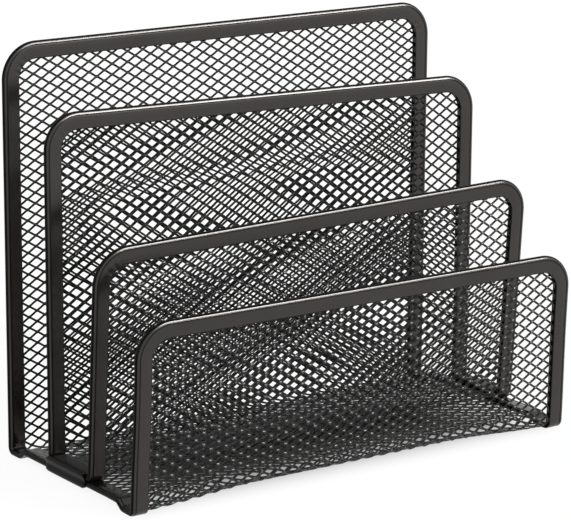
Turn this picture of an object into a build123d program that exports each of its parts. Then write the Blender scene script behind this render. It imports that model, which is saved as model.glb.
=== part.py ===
from build123d import *
from dataclasses import dataclass
from math import cos, hypot, radians, tan
import os

# A black steel letter holder. Two sheets of diamond mesh are folded to a U, the
# narrow one inside the wide one, which makes four stepped panels and three
# compartments. A folded steel strip binds the whole edge of each sheet, and two
# clips are crimped round the floor runs of the two strips, which holds the
# sheets together. X runs along the panels, +Y to the rear, and Z up. All sizes
# are in millimetres and all angles in degrees.

# The four panels, from the rear to the front: height over the binding, space
# from panel to panel at table level, and how far each leans to the front.
WIDTH = 175.0
REAR_HEIGHT = 141.5
INNER_REAR_HEIGHT = 120.3
INNER_FRONT_HEIGHT = 84.7
FRONT_HEIGHT = 64.1
REAR_SPACE = 27.5
MIDDLE_SPACE = 25.3
FRONT_SPACE = 28.0
REAR_LEAN = 0.8
INNER_REAR_LEAN = 0.7
INNER_FRONT_LEAN = 4.5
FRONT_LEAN = 3.3

# The inner sheet is folded a little out of square: its rear panel is this much
# lower at the right end than at the left, and its front panel as much higher.
INNER_SKEW = 3.8

# The binding: a strip of sheet steel folded to a channel with a round hem.
STEEL = 0.45
BINDING_THICKNESS = 2.2
BINDING_DEPTH = 5.9
CORNER_RADIUS = 12.5

# The folds. The outer sheet dips below its floor at both folds, which makes the
# four feet, each with a short flat. The inner floor lies on the outer one.
FOOT_DROP = 2.0
FOOT_LENGTH = 6.6
FOOT_RISE_LENGTH = 3.2
FOOT_RISE_RADIUS = 3.0
OUTER_FOLD_RADIUS = 1.8
INNER_FOLD_RADIUS = 1.5
STACK_CLEARANCE = 0.05
FOLD_MARGIN = 1.0

# The mesh: its diamonds are drawn larger than the real ones.
MESH_THICKNESS = 0.9
DIAMOND_LENGTH = 16.8
DIAMOND_HEIGHT = 9.8
STRAND_WIDTH = 1.5
GAP_UNDER_BINDING = 0.4
SMALLEST_GAP_SHARE = 0.04

# The clips round the floor runs of both bindings: how far each starts behind
# the inner rear panel and stops short of the inner front one.
CLIP_STEEL = 0.6
CLIP_CLEARANCE = 0.1
CLIP_FLANGE = 6.0
CLIP_REAR_REACH = 1.5
CLIP_FRONT_SETBACK = 1.7
CLIP_END_RADIUS = 2.2
CLIP_BEND_RADIUS = 1.2

# Levels of the sheets' middles, worked out from the sizes above.
HEM_RADIUS = BINDING_THICKNESS / 2
FOOT_LEVEL = HEM_RADIUS
OUTER_FLOOR = FOOT_LEVEL + FOOT_DROP
INNER_FLOOR = OUTER_FLOOR + BINDING_THICKNESS + STACK_CLEARANCE
HEM_AXIS_X = WIDTH / 2 - HEM_RADIUS

# Places of the panels at table level. The origin is under the middle of the
# whole depth, from the rear fold's back to the front panel's top edge.
REAR_OVERHANG = (
    HEM_RADIUS
    - OUTER_FOLD_RADIUS * (1 / cos(radians(REAR_LEAN)) - 1)
    - (FOOT_LEVEL + OUTER_FOLD_RADIUS) * tan(radians(REAR_LEAN))
)
FRONT_OVERHANG = HEM_RADIUS + (FRONT_HEIGHT - HEM_RADIUS) * tan(radians(FRONT_LEAN))
DEPTH = REAR_OVERHANG + REAR_SPACE + MIDDLE_SPACE + FRONT_SPACE + FRONT_OVERHANG
REAR_Y = DEPTH / 2 - REAR_OVERHANG
INNER_REAR_Y = REAR_Y - REAR_SPACE
INNER_FRONT_Y = INNER_REAR_Y - MIDDLE_SPACE
FRONT_Y = INNER_FRONT_Y - FRONT_SPACE


@dataclass
class Panel:
    """One leaning panel, by the middle of its sheet."""

    y_at_table: float
    lean: float
    left_height: float
    right_height: float

    def y_at(self, height):
        """The panel's place in Y at a height above the table."""
        return self.y_at_table - height * tan(radians(self.lean))

    def point(self, x, height):
        """A point on the middle of the panel's sheet."""
        return (x, self.y_at(height), height)

    def plane(self):
        """The plane of the panel's sheet, facing the front, with Y up the panel."""
        lean = radians(self.lean)
        return Plane(origin=self.point(0, 0), x_dir=(1, 0, 0), z_dir=(0, -cos(lean), -cos(lean) * tan(lean)))

    def up(self, height):
        """The distance up the leaning panel to a height above the table."""
        return height / cos(radians(self.lean))

    def outline(self, start, inset):
        """The panel's edge in its own plane, from the left foot over the top to
        the right one, at an inset from the outside of the binding."""
        side = WIDTH / 2 - inset
        corners = [
            (-side, self.up(start)),
            (-side, self.up(self.left_height - inset)),
            (side, self.up(self.right_height - inset)),
            (side, self.up(start)),
        ]
        return FilletPolyline(*corners, radius=CORNER_RADIUS - inset)


REAR = Panel(REAR_Y, REAR_LEAN, REAR_HEIGHT, REAR_HEIGHT)
INNER_REAR = Panel(
    INNER_REAR_Y,
    INNER_REAR_LEAN,
    INNER_REAR_HEIGHT + INNER_SKEW / 2,
    INNER_REAR_HEIGHT - INNER_SKEW / 2,
)
INNER_FRONT = Panel(
    INNER_FRONT_Y,
    INNER_FRONT_LEAN,
    INNER_FRONT_HEIGHT - INNER_SKEW / 2,
    INNER_FRONT_HEIGHT + INNER_SKEW / 2,
)
FRONT = Panel(FRONT_Y, FRONT_LEAN, FRONT_HEIGHT, FRONT_HEIGHT)


@dataclass
class FoldedSheet:
    """A sheet folded to a U: two panels and the floor between them."""

    rear: Panel
    front: Panel
    floor: float
    fold_radius: float
    has_feet: bool

    def bar_end(self):
        """The height at which a panel's straight part ends and its fold begins."""
        return self.floor + self.fold_radius + FOLD_MARGIN

    def fold_points(self, panel, towards_floor, x):
        """Points of the side view from a panel's straight part to the floor."""
        if not self.has_feet:
            return [panel.point(x, self.bar_end()), panel.point(x, self.floor)]
        foot_end = panel.y_at(FOOT_LEVEL) + towards_floor * FOOT_LENGTH
        rise_end = foot_end + towards_floor * FOOT_RISE_LENGTH
        return [
            panel.point(x, self.bar_end()),
            panel.point(x, FOOT_LEVEL),
            (x, foot_end, FOOT_LEVEL),
            (x, rise_end, self.floor),
        ]

    def fold_radii(self):
        """The bend radii at the points of one fold, from the panel to the floor."""
        if not self.has_feet:
            return [self.fold_radius]
        return [self.fold_radius, FOOT_RISE_RADIUS, FOOT_RISE_RADIUS]

    def floor_end(self, panel, towards_floor):
        """Where the flat floor starts beside a panel's fold."""
        last = self.fold_points(panel, towards_floor, 0)[-1][1]
        if self.has_feet:
            return last + towards_floor * FOOT_RISE_RADIUS / 2
        return last + towards_floor * (self.fold_radius + FOLD_MARGIN)

    def side_path(self, x):
        """The whole side view of the fold, floor and fold, as a path at one X."""
        rear = self.fold_points(self.rear, -1, x)
        front = self.fold_points(self.front, 1, x)
        radii = self.fold_radii() + self.fold_radii()[::-1]
        return FilletPolyline(*rear, *front[::-1], radius=radii)

    def fold_path(self, panel, towards_floor):
        """One fold's side view, from the panel's straight part to the flat floor."""
        end = (0, self.floor_end(panel, towards_floor), self.floor)
        return FilletPolyline(*self.fold_points(panel, towards_floor, 0), end, radius=self.fold_radii())


OUTER = FoldedSheet(REAR, FRONT, OUTER_FLOOR, OUTER_FOLD_RADIUS, True)
INNER = FoldedSheet(INNER_REAR, INNER_FRONT, INNER_FLOOR, INNER_FOLD_RADIUS, False)


def diamond():
    """One gap of the mesh, which leaves a strand of the named width round it."""
    length, height = DIAMOND_LENGTH / 2, DIAMOND_HEIGHT / 2
    share = 1 - STRAND_WIDTH / 2 * hypot(1 / length, 1 / height)
    length, height = length * share, height * share
    return Polygon((length, 0), (0, height), (-length, 0), (0, -height), align=None)


def net(outline, window, thickness=MESH_THICKNESS):
    """A flat sheet with the diamonds of the mesh cut where the window is."""
    size = window.bounding_box().size
    columns = int(size.X / DIAMOND_LENGTH) + 3
    rows = int(size.Y / DIAMOND_HEIGHT) + 3
    columns += (columns + 1) % 2
    rows += (rows + 1) % 2
    pitch = (DIAMOND_LENGTH, DIAMOND_HEIGHT)
    centre = Pos(window.bounding_box().center())
    straight = GridLocations(*pitch, columns, rows)
    between = GridLocations(*pitch, columns + 1, rows + 1)
    gaps = [centre * place * diamond() for grid in (straight, between) for place in grid]
    smallest = SMALLEST_GAP_SHARE * DIAMOND_LENGTH * DIAMOND_HEIGHT
    kept = [gap.face() & window for gap in gaps]
    wires = [face.outer_wire() for found in kept if found for face in found.faces() if face.area > smallest]
    print("gaps", len(wires))
    holed = Face(outline.outer_wire(), wires)
    return extrude(holed, amount=thickness / 2, both=True)


def closed_face(path):
    """The face inside an open outline and the straight line that closes it."""
    return make_face([*path.edges(), Line(path @ 1, path @ 0).edge()]).face()


def panel_net(sheet, panel):
    """A panel's flat mesh, from its fold up into the binding's hem."""
    inset = BINDING_DEPTH - GAP_UNDER_BINDING
    outline = closed_face(panel.outline(sheet.bar_end(), HEM_RADIUS))
    window = closed_face(panel.outline(sheet.bar_end() + STRAND_WIDTH / 2, inset))
    return panel.plane() * net(outline, window)


def floor_net(sheet):
    """The flat mesh between a sheet's two folds."""
    rear = sheet.floor_end(sheet.rear, -1)
    front = sheet.floor_end(sheet.front, 1)
    width = WIDTH - 2 * (BINDING_DEPTH - GAP_UNDER_BINDING)
    outline = Rectangle(2 * HEM_AXIS_X, rear - front).face()
    window = Rectangle(width, rear - front - STRAND_WIDTH).face()
    return Pos(0, (rear + front) / 2, sheet.floor) * net(outline, window)


def swept(section, path, x_dir):
    """A section drawn round the origin, swept along a path from its start."""
    start = Plane(origin=path @ 0, x_dir=x_dir, z_dir=path % 0)
    return sweep(start * section, path)


def mesh(sheet):
    """A whole folded sheet of mesh. The folds themselves are left solid."""
    section = Rectangle(2 * HEM_AXIS_X, MESH_THICKNESS)
    rear_fold = swept(section, sheet.fold_path(sheet.rear, -1), (1, 0, 0))
    front_fold = swept(section, sheet.fold_path(sheet.front, 1), (1, 0, 0))
    panels = panel_net(sheet, sheet.rear) + panel_net(sheet, sheet.front)
    return panels + floor_net(sheet) + rear_fold + front_fold


def channel():
    """The binding's section: a half-round hem and two flanges that open to +X."""
    reach = BINDING_DEPTH - HEM_RADIUS
    hollow = HEM_RADIUS - STEEL
    outside = Circle(HEM_RADIUS) + Pos(reach / 2, 0) * Rectangle(reach, BINDING_THICKNESS)
    inside = Circle(hollow) + Pos(reach, 0) * Rectangle(2 * reach, 2 * hollow)
    return outside - inside


def binding(sheet):
    """The strip round a folded sheet's whole edge, as one closed ring."""
    arches = []
    for panel in (sheet.rear, sheet.front):
        path = panel.plane() * panel.outline(sheet.bar_end(), HEM_RADIUS)
        arches.append(swept(channel(), path, (1, 0, 0)))
    left_run = swept(channel(), sheet.side_path(-HEM_AXIS_X), (1, 0, 0))
    right_run = mirror(left_run, about=Plane.YZ)
    return arches[0] + left_run + arches[1] + right_run


def left_clip():
    """The sleeve crimped round both floor runs, its web on the outside. Its top
    flange lies only between the folds of the inner binding."""
    rear = INNER_REAR.y_at(INNER_FLOOR) + CLIP_REAR_REACH
    front = INNER_FRONT.y_at(INNER_FLOOR) + CLIP_FRONT_SETBACK
    middle = (INNER_FLOOR + OUTER_FLOOR) / 2
    hollow_height = INNER_FLOOR - OUTER_FLOOR + BINDING_THICKNESS + 2 * CLIP_CLEARANCE
    height = hollow_height + 2 * CLIP_STEEL
    hollow_x = -WIDTH / 2 - CLIP_CLEARANCE
    flange_x = -WIDTH / 2 + CLIP_FLANGE
    section_plane = Plane(origin=(0, rear, middle), x_dir=(1, 0, 0), z_dir=(0, -1, 0))
    width = flange_x - hollow_x + CLIP_STEEL
    outside = Pos((flange_x + hollow_x - CLIP_STEEL) / 2, 0) * Rectangle(width, height)
    outside = fillet(outside.vertices().group_by(Axis.X)[0], CLIP_BEND_RADIUS)
    hollow = Pos(hollow_x + width / 2, 0) * Rectangle(width, hollow_height)
    hollow = fillet(hollow.vertices().group_by(Axis.X)[0], CLIP_BEND_RADIUS - CLIP_STEEL)
    sleeve = extrude(section_plane * (outside - hollow), amount=rear - front)
    end_view = Plane(origin=(0, (rear + front) / 2, middle), x_dir=(0, 1, 0), z_dir=(1, 0, 0))
    rounded = extrude(end_view * RectangleRounded(rear - front, height, CLIP_END_RADIUS), amount=WIDTH, both=True)
    top = INNER_FLOOR + HEM_RADIUS + CLIP_CLEARANCE + CLIP_STEEL / 2
    for panel, towards_floor in ((INNER_REAR, -1), (INNER_FRONT, 1)):
        fold_end = panel.y_at(INNER_FLOOR) + towards_floor * (INNER_FOLD_RADIUS + FOLD_MARGIN / 2)
        reach = 2 * WIDTH
        notch = Box(reach, reach, 2 * CLIP_BEND_RADIUS, align=(Align.MIN, Align.CENTER, Align.MIN))
        place = (hollow_x, fold_end - towards_floor * reach / 2, top - CLIP_BEND_RADIUS)
        sleeve -= Pos(*place) * notch
    return sleeve & rounded


clip = left_clip()
pieces = {
    "outer_mesh": mesh(OUTER),
    "inner_mesh": mesh(INNER),
    "outer_binding": binding(OUTER),
    "inner_binding": binding(INNER),
    "left_clip": clip,
    "right_clip": mirror(clip, about=Plane.YZ),
}

os.makedirs("parts", exist_ok=True)
for name, piece in pieces.items():
    export_step(piece, f"parts/{name}.step")
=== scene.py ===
"""The looks of a black steel letter holder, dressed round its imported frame.

Two sheets of raised diamond mesh are folded to a U, one inside the other. A
folded strip binds the edge of each, and two clips hold the pair together. All
sizes are in metres, and angles are in radians where they aren't named degrees.
The axes are the frame's own: X runs along the panels, +Y to the rear and Z up.
Each sheet is first laid out flat as a blank, with X across it and S along it
from the top of the rear panel, and then folded along its side path.
"""

from __future__ import annotations

import logging
import math
from collections.abc import Sequence
from dataclasses import dataclass
from enum import Enum
from functools import cache

import bmesh
import bpy
import numpy as np
from mathutils import Matrix, Vector


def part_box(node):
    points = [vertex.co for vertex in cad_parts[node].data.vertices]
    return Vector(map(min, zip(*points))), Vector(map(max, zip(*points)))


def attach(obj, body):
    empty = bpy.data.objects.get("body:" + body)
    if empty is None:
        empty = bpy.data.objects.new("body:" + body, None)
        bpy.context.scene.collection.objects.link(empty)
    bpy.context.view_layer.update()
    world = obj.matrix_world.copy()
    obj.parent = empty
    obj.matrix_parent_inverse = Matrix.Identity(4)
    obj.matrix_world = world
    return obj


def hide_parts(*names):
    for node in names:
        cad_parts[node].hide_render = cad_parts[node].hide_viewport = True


LOG = logging.getLogger("letter_holder")
BODY = "root"

# The sheets: points on a blank's corner, how far the outer sheet's flare runs
# from the front fold, how far in from the sheet's ends the mesh's raise sets in
# and is full, and how far from a fold it reaches.
ARC_POINTS = 22
FLARE_ALONG_FLOOR = 0.020
FLARE_UP_PANEL = 0.038
RAISE_FROM_END = (0.006, 0.050)
RAISE_REACH = 0.014

# The mesh: how much wider a node is than a strand, which points of a diamond's
# ring are the middles of strands, how many diamonds the lattice has each way
# beyond twice the sheet's, and how close two points are one.
NODE_GROWTH = 0.5
STRAND_MIDDLES = (1, 5, 7, 11)
SPARE_DIAMONDS = 3
MERGE = 0.00001

# The strip's section. The lips get painted shade. The face is crowned, then
# dips to a groove: its share of the hem's radius, how deep it is and how much
# shade is painted in it. The hem is a bevel and a rim, in shares of its radius,
# and the rim gets painted shade, more after its first point. The hollow is what
# the hem leaves inside.
LIP_POINTS = 4
LIP_PAINTED_SHADE = 0.8
CROWN = 0.00003
CROWN_SHARES = (0.93, 0.65, 0.45)
GROOVE = ((0.60, 0.0, 0.0), (0.30, 0.3, 0.5), (0.08, 1.0, 1.0))
BEVEL_HEIGHT = 0.960
BEVEL_TILT = math.radians(18)
BEVEL_SHARES = (0.04, 0.10, 0.33, 0.56)
RIM_POINTS = 9
RIM_START = math.radians(25)
RIM_MIDDLE = 0.318
RIM_HEIGHT = 0.830
RIM_PAINTED_SHADE = (0.1, 2.0)
HOLLOW_POINTS = 6
HOLLOW_TURN = (math.radians(250), math.radians(110))

# Where on a corner's quarter turn its wrinkles fade in and out, how far they
# reach from the lip in strip depths, how unevenly they are spaced and how fast
# that changes with the angle.
WRINKLES_IN = (0.05, 0.35)
WRINKLES_OUT = (0.95, 0.65)
WRINKLE_REACH = 0.55
WRINKLE_WOBBLE = 3.0
WOBBLE_SCALE = 3.0

# The clips: points on their section and stations along them, where the flanges
# have points, how far the ends are pinched in, and their rounded edges.
CLIP_BEND_POINTS = 7
WEB_POINTS = 9
CLIP_STATIONS = 25
FLANGE_SHARES = (1.0, 0.66, 0.33)
FLANGE_LEVEL = 0.9
END_PINCH = 0.00008
PINCH_POWER = 6
EDGE_BEVEL = 0.00012
EDGE_ANGLE = math.radians(50)
NARROW_FACE = 1.2e-8

# The paints: the detail of their noises, the fine grain's share of the tone,
# the tone's spread, the wear of rubbed edges, what places with painted shade
# lose (they are painted darker, less glossy and rougher) and the specular
# level elsewhere. A painted shade mark takes three quarters of its shade in
# its first step and the rest in its second.
GRAIN_DETAIL = 3.0
PATCH_DETAIL = 4.0
GRAIN_SHARE = 0.35
TONE_SPREAD = (0.3, 0.7)
WEAR_SCALE = 6.0
WEAR_SPREAD = (0.42, 0.7)
WEAR_GLOSS = 0.05
PAINTED_SHADE_STEPS = ((0.0, 0.35, 0.75), (1.0, 2.0, 0.25))
PAINTED_SHADE_COVER = 0.8
PAINTED_SHADE_TONE = 0.25
PAINTED_SHADE_SPECULAR = 0.45
PAINTED_SHADE_ROUGHNESS = 0.15
SPECULAR = 0.5

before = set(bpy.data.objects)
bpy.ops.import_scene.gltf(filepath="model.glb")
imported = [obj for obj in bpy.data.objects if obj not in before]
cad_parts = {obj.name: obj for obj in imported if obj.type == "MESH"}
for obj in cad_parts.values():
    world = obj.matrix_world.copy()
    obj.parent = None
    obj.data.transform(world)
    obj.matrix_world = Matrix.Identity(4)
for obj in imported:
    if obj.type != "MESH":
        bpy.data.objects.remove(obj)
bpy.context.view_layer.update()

Colour = tuple[float, float, float]
Pair = tuple[float, float]
Place = tuple[float, float, float]
Number = "Field | float"


class Side(Enum):
    """The two ends of the holder, by the sign of X."""

    LEFT = -1
    RIGHT = 1


class Slot(Enum):
    """The record's material slots."""

    MESH = "mesh"
    BINDING = "binding"
    CLIP = "clip"


class Mark(Enum):
    """Attributes that a piece's paint reads to find its rubbed edges and where shade is painted."""

    LIP = "lip"
    DULL = "dull"


class Field:
    """A value that a node tree works out, with the usual arithmetic."""

    def __init__(self, maker: TreeMaker, socket: bpy.types.NodeSocket) -> None:
        """Keeps the tree's maker and the socket that gives the value."""
        self.maker = maker
        self.socket = socket

    def __add__(self, other: Number) -> Field:
        """The sum with another value."""
        return self.maker.math("ADD", self, other)

    def __sub__(self, other: Number) -> Field:
        """The difference from another value."""
        return self.maker.math("SUBTRACT", self, other)

    def __mul__(self, other: Number) -> Field:
        """The product with another value."""
        return self.maker.math("MULTIPLY", self, other)

    def __truediv__(self, other: Number) -> Field:
        """The quotient by another value."""
        return self.maker.math("DIVIDE", self, other)

    def __neg__(self) -> Field:
        """The value with its sign turned."""
        return self.maker.math("MULTIPLY", self, -1.0)

    def __abs__(self) -> Field:
        """The size of the value."""
        return self.maker.math("ABSOLUTE", self)


class TreeMaker:
    """Adds nodes to a tree, sets what is fixed and links what is worked out."""

    def __init__(self, tree: bpy.types.NodeTree) -> None:
        """Keeps the tree that the nodes go into."""
        self.tree = tree

    def node(self, kind: str, inputs: dict | None = None, **settings: object) -> bpy.types.Node:
        """Adds a node.

        Args:
            kind: The node's type name.
            inputs: Values, fields, sockets or nodes by input name or number.
            settings: The node's own properties.

        Returns:
            The new node.
        """
        made = self.tree.nodes.new(kind)
        for name, value in settings.items():
            setattr(made, name, value)
        for key, value in (inputs or {}).items():
            self.feed(made.inputs[key], value)
        return made

    def feed(self, socket: bpy.types.NodeSocket, value: object) -> None:
        """Links a field, a socket or a node's first output, or sets a fixed value.

        Args:
            socket: The input.
            value: What it gets.
        """
        if isinstance(value, Field):
            value = value.socket
        if isinstance(value, bpy.types.Node):
            value = value.outputs[0]
        if isinstance(value, bpy.types.NodeSocket):
            self.tree.links.new(value, socket)
        else:
            socket.default_value = value

    def field(self, node: bpy.types.Node, output: str | int = 0) -> Field:
        """One output of a node, as a field."""
        return Field(self, node.outputs[output])

    def math(self, operation: str, *values: Number) -> Field:
        """One Math node, fed with fields or numbers."""
        return self.field(self.node("ShaderNodeMath", dict(enumerate(values)), operation=operation))

    def vector(self, x: Number, y: Number, z: Number) -> Field:
        """Three numbers joined to a vector."""
        return self.field(self.node("ShaderNodeCombineXYZ", {0: x, 1: y, 2: z}))

    def parts(self, vector: object) -> tuple[Field, Field, Field]:
        """A vector's three numbers."""
        node = self.node("ShaderNodeSeparateXYZ", {0: vector})
        return self.field(node, 0), self.field(node, 1), self.field(node, 2)

    def position(self) -> tuple[Field, Field, Field]:
        """The three numbers of a point's place in a geometry tree."""
        return self.parts(self.node("GeometryNodeInputPosition"))

    def ease(self, value: Number, start: Number, end: Number) -> Field:
        """A smooth step between two values.

        Args:
            value: What is eased.
            start: Where the step is still 0.
            end: Where it is 1. It may lie before the start.

        Returns:
            The step.
        """
        inputs = {"Value": value, "From Min": start, "From Max": end}
        node = self.node("ShaderNodeMapRange", inputs, interpolation_type="SMOOTHSTEP")
        return self.field(node, "Result")

    def noise(self, vector: object, scale: float, detail: float) -> Field:
        """A noise field between 0 and 1 at a scale in features per metre."""
        inputs = {"Vector": vector, "Scale": scale, "Detail": detail}
        return self.field(self.node("ShaderNodeTexNoise", inputs))

    def out_of_box(self, over_x: Field, over_y: Field) -> Field:
        """The distance out of a box, below 0 inside it.

        Args:
            over_x: How far a point is beyond half the box's size in X.
            over_y: The same in Y.

        Returns:
            The distance.
        """
        out_x, out_y = self.math("MAXIMUM", over_x, 0.0), self.math("MAXIMUM", over_y, 0.0)
        inside = self.math("MINIMUM", self.math("MAXIMUM", over_x, over_y), 0.0)
        return self.math("SQRT", out_x * out_x + out_y * out_y) + inside


def place_in_scene(name: str, data: bpy.types.ID) -> bpy.types.Object:
    """Makes an object and links it to the scene.

    Args:
        name: The object's name.
        data: Its mesh, light or camera.

    Returns:
        The object.
    """
    made = bpy.data.objects.new(name, data)
    bpy.context.scene.collection.objects.link(made)
    return made


def loose_line(name: str, points: Sequence[Sequence[float]], closed: bool) -> bpy.types.Object:
    """An object of points joined by edges, for a node tree to follow.

    Args:
        name: The object's name.
        points: The points in order.
        closed: Whether the last point joins the first.

    Returns:
        The object.
    """
    count = len(points)
    edges = [(i, (i + 1) % count) for i in range(count if closed else count - 1)]
    data = bpy.data.meshes.new(name)
    data.from_pydata([tuple(p) for p in points], edges, [])
    return place_in_scene(name, data)


def mesh_object(name: str, working: bmesh.types.BMesh) -> bpy.types.Object:
    """Turns a working mesh into an object in the scene and frees it.

    Args:
        name: The object's name.
        working: The working mesh.

    Returns:
        The object.
    """
    data = bpy.data.meshes.new(name)
    working.to_mesh(data)
    working.free()
    return place_in_scene(name, data)


def put_mark(data: bpy.types.Mesh, mark: Mark, values: Sequence[float]) -> None:
    """Puts a mark on every point of a mesh."""
    data.attributes.new(mark.value, "FLOAT", "POINT").data.foreach_set("value", values)


def remove(*objects: bpy.types.Object) -> None:
    """Deletes helper objects with their meshes.

    Args:
        objects: The objects.
    """
    for item in objects:
        data = item.data
        bpy.data.objects.remove(item)
        bpy.data.meshes.remove(data)


def modified_mesh(item: bpy.types.Object) -> bpy.types.Mesh:
    """Makes a plain mesh of what an object's modifiers give.

    Args:
        item: The object.

    Returns:
        The new mesh.
    """
    bpy.context.view_layer.update()
    evaluated = item.evaluated_get(bpy.context.evaluated_depsgraph_get())
    return bpy.data.meshes.new_from_object(evaluated)


def keep_modified_mesh(piece: bpy.types.Object) -> None:
    """Puts the mesh that the modifiers make in the piece's place and drops them.

    Args:
        piece: The piece.
    """
    old = piece.data
    piece.data = modified_mesh(piece)
    piece.modifiers.clear()
    piece.data.name = piece.name
    bpy.data.meshes.remove(old)


def point_outwards(piece: bpy.types.Object) -> None:
    """Welds a closed mesh's doubles and turns its faces outwards.

    Args:
        piece: The piece with the mesh.
    """
    working = bmesh.new()
    working.from_mesh(piece.data)
    bmesh.ops.remove_doubles(working, verts=working.verts, dist=MERGE / 10)
    bmesh.ops.recalc_face_normals(working, faces=working.faces)
    if working.calc_volume(signed=True) < 0:
        bmesh.ops.reverse_faces(working, faces=working.faces)
    working.to_mesh(piece.data)
    working.free()


def finish_piece(piece: bpy.types.Object, node: str) -> None:
    """Tells the frame what a piece rides on and stands for.

    Args:
        piece: The piece.
        node: The frame's node that the piece stands for.
    """
    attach(piece, BODY)
    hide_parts(node)
    LOG.info("%s: %d faces", piece.name, len(piece.data.polygons))


def new_geometry_tree(
    name: str, kinds: dict[str, str], numbers: Sequence[str]
) -> tuple[TreeMaker, dict[str, Field]]:
    """Starts a geometry tree with named inputs and one geometry output.

    Args:
        name: The tree's name.
        kinds: What each input takes, by its name.
        numbers: The names of the inputs that take a number.

    Returns:
        The maker for the tree, and each input as a field.
    """
    tree = bpy.data.node_groups.new(name, "GeometryNodeTree")
    kinds = {**kinds, **dict.fromkeys(numbers, "Float")}
    for label, kind in kinds.items():
        tree.interface.new_socket(label, in_out="INPUT", socket_type=f"NodeSocket{kind}")
    tree.interface.new_socket("Geometry", in_out="OUTPUT", socket_type="NodeSocketGeometry")
    maker = TreeMaker(tree)
    source = maker.node("NodeGroupInput")
    return maker, {label: maker.field(source, label) for label in kinds}


def end_piece_tree(maker: TreeMaker, folded: object, paint: Field) -> bpy.types.NodeTree:
    """Ends a piece's tree with smooth faces, real geometry and paint.

    Args:
        maker: The tree's maker.
        folded: The folded geometry.
        paint: The material.

    Returns:
        The tree.
    """
    smooth = maker.node("GeometryNodeSetShadeSmooth", {0: folded})
    real = maker.node("GeometryNodeRealizeInstances", {0: smooth})
    painted = maker.node("GeometryNodeSetMaterial", {0: real, "Material": paint})
    maker.node("NodeGroupOutput", {"Geometry": painted})
    return maker.tree


def run_tree(
    source: bpy.types.Object, tree: bpy.types.NodeTree, values: dict[str, object], name: str
) -> bpy.types.Object:
    """Runs a geometry tree on an object and keeps the result as a plain mesh.

    Args:
        source: The object that the tree starts from. It is deleted.
        tree: The geometry tree.
        values: Values by name, of which the tree takes those that it has inputs for.
        name: The new piece's name.

    Returns:
        The piece, at the origin, with no modifier.
    """
    modifier = source.modifiers.new(tree.name, "NODES")
    modifier.node_group = tree
    for item in tree.interface.items_tree:
        if item.item_type == "SOCKET" and item.in_out == "INPUT" and item.name in values:
            modifier[item.identifier] = values[item.name]
    source.update_tag()
    data = modified_mesh(source)
    data.name = name
    remove(source)
    return place_in_scene(name, data)


def input_name(field_name: str) -> str:
    """A dataclass field's name as the name of a tree's input."""
    return field_name.replace("_", " ").title()


@dataclass
class SidePath:
    """The side view of a folded sheet: straight runs joined by round folds.

    Attributes:
        corners: The corners in Y and Z, from the rear panel's top edge.
        radii: The radius of the fold at each inner corner.
        step: The largest turn between two points of a fold.
    """

    corners: Sequence[Pair]
    radii: Sequence[float]
    step: float = math.radians(4.5)

    def __post_init__(self) -> None:
        """Works out the rounded line, its directions and its running length."""
        corners = np.array(self.corners)
        runs = np.diff(corners, axis=0)
        headings = np.unwrap(np.arctan2(runs[:, 1], runs[:, 0]))
        points = [corners[0]]
        turned = [headings[0]]
        for corner, radius, before, after in zip(corners[1:], self.radii, headings, headings[1:]):
            turn = after - before
            reach = radius * math.tan(abs(turn) / 2)
            start = corner - reach * np.array([math.cos(before), math.sin(before)])
            to_centre = math.copysign(radius, turn) * self._left(before)
            count = math.ceil(abs(turn) / self.step)
            for heading in np.linspace(before, after, count + 1):
                points.append(start + to_centre - math.copysign(radius, turn) * self._left(heading))
                turned.append(heading)
        self.points = np.array([*points, corners[-1]])
        self.headings = np.array([*turned, headings[-1]])
        lengths = np.hypot(*np.diff(self.points, axis=0).T)
        self.lengths = np.concatenate([[0.0], np.cumsum(lengths)])

    @staticmethod
    def _left(heading: float) -> np.ndarray:
        """The unit vector to the left of a heading."""
        return np.array([-math.sin(heading), math.cos(heading)])

    def line_object(self) -> bpy.types.Object:
        """The path as an object of points and edges, for a node tree to follow."""
        return loose_line("side_path", [(0.0, y, z) for y, z in self.points], closed=False)


@dataclass(frozen=True)
class Panel:
    """One leaning panel, by the middle of its sheet.

    Attributes:
        y_at_table: Its place in Y at table level.
        lean: How far it leans to the front.
        height: Its height over the binding, in the middle of its length.
    """

    y_at_table: float
    lean: float
    height: float

    def at(self, height: float) -> Pair:
        """The panel's Y and Z at a height above the table."""
        return self.y_at_table - height * math.tan(self.lean), height


@dataclass(frozen=True)
class Feet:
    """The dips of the outer sheet below its floor, one beside each fold.

    Attributes:
        level: The height of the dipped binding's middle.
        length: The length of each dip's flat.
        rise_length: The length of the rise from the flat to the floor.
        rise_radius: The radius at both ends of the rise.
        mesh_raise: How much higher the mesh runs between the two ends.
    """

    level: float
    length: float
    rise_length: float
    rise_radius: float
    mesh_raise: float


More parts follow.
